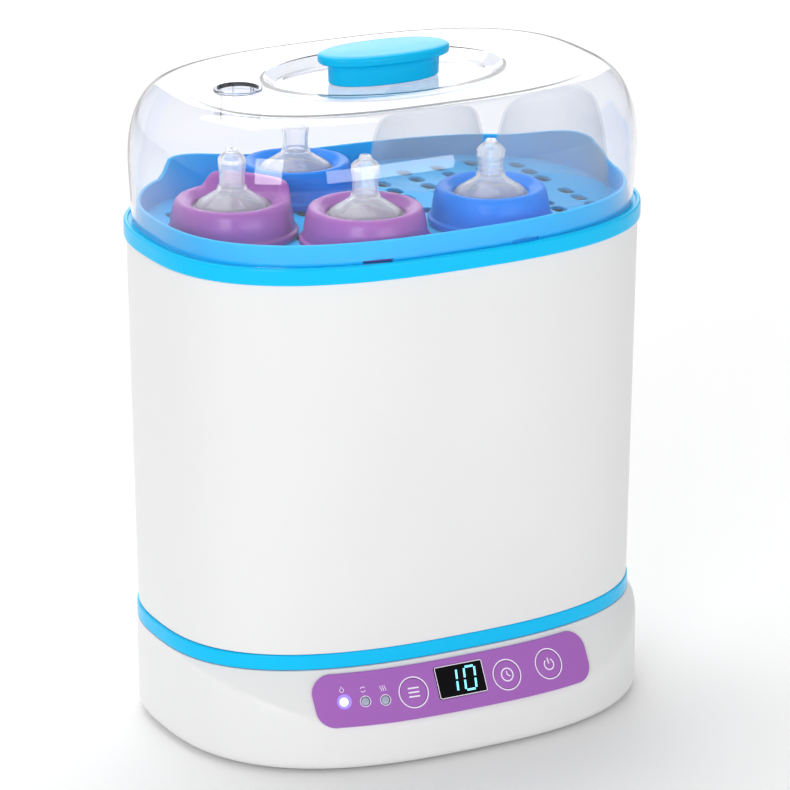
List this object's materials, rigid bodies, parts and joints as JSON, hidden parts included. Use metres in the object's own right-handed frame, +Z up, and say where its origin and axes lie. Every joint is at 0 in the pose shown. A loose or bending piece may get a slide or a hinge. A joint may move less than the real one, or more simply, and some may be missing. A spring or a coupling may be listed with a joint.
{
  "type": "bottle sterilizer",
  "caption": "Countertop electric steam sterilizer for baby bottles: heated base with sloped control panel, oval body, small-parts tray and clear domed lid with a knob and a steam vent.",
  "frame": {"origin": "on the counter, under the middle of the bounding box; the feet stand on z = 0", "axes": "+Z up, front with the control panel towards -Y, +X to the right seen from the front"},
  "size_m": [0.2686, 0.197, 0.3506],
  "materials": {
    "cyan_plastic": "satin",
    "white_plastic": "satin",
    "clear_plastic": "clear gloss",
    "purple_plastic": "satin",
    "blue_plastic": "satin",
    "panel_film": "satin film",
    "button_film": "satin film",
    "black_plastic": "moulded",
    "window_black": "polished",
    "grey_plastic": "moulded",
    "led_lens": "clear",
    "steel": "brushed",
    "rubber": "moulded",
    "silicone": "clear silicone",
    "hood_plastic": "frosted clear",
    "board": "solder mask",
    "copper_parts": "wound copper"
  },
  "bodies": {
    "base": {"base_housing": "white_plastic", "base_trim_ring": "cyan_plastic", "bottom_cover": "grey_plastic", "foot_1": "rubber", "foot_2": "rubber", "foot_3": "rubber", "foot_4": "rubber", "cover_screw_1": "steel", "cover_screw_2": "steel", "cover_screw_3": "steel", "cover_screw_4": "steel", "heater_plate": "steel", "heater_seal": "grey_plastic", "heating_element": "steel", "element_bracket": "steel", "thermostat": "black_plastic", "thermal_fuse": "grey_plastic", "power_board": "board", "relay": "black_plastic", "transformer": "copper_parts", "cord_gland": "grey_plastic", "control_panel": "panel_film", "display_window": "window_black", "display_module": "grey_plastic", "led_1": "led_lens", "led_2": "led_lens", "led_3": "led_lens", "control_board": "board", "menu_switch": "black_plastic", "timer_switch": "black_plastic", "power_switch": "black_plastic"},
    "menu_key": {"menu_button": "button_film"},
    "timer_key": {"timer_button": "button_film"},
    "power_key": {"power_button": "button_film"},
    "main_body": {"body_shell": "white_plastic", "body_top_ring": "cyan_plastic"},
    "basket": {"bottle_basket": "white_plastic"},
    "tray": {"upper_tray": "cyan_plastic", "purple_collar_1": "purple_plastic", "purple_collar_2": "purple_plastic", "blue_collar_1": "blue_plastic", "blue_collar_2": "blue_plastic", "teat_1": "silicone", "teat_2": "silicone", "teat_3": "silicone", "teat_4": "silicone", "hood_1": "hood_plastic", "hood_2": "hood_plastic"},
    "lid_assembly": {"lid": "clear_plastic", "lid_knob": "cyan_plastic"}
  },
  "joints": [
    {"name": "menu_press", "type": "slide", "parent": "base", "child": "menu_key", "axis": [0.0608, 0.8648, -0.4985], "range_m": [0, 0.0005], "stiffness_N_per_m": 400},
    {"name": "timer_press", "type": "slide", "parent": "base", "child": "timer_key", "axis": [-0.0346, 0.8662, -0.4985], "range_m": [0, 0.0005], "stiffness_N_per_m": 400},
    {"name": "power_press", "type": "slide", "parent": "base", "child": "power_key", "axis": [-0.1131, 0.8585, -0.5002], "range_m": [0, 0.0005], "stiffness_N_per_m": 400},
    {"name": "body_lift", "type": "slide", "parent": "base", "child": "main_body", "axis": [0, 0, 1], "range_m": [0, 0.2]},
    {"name": "basket_lift", "type": "slide", "parent": "main_body", "child": "basket", "axis": [0, 0, 1], "range_m": [0, 0.2]},
    {"name": "tray_lift", "type": "slide", "parent": "main_body", "child": "tray", "axis": [0, 0, 1], "range_m": [0, 0.2]},
    {"name": "lid_lift", "type": "slide", "parent": "tray", "child": "lid_assembly", "axis": [0, 0, 1], "range_m": [0, 0.12]}
  ],
  "couplings": [
    {"joint": "basket_lift", "follows": "tray_lift", "ratio": 1}
  ]
}
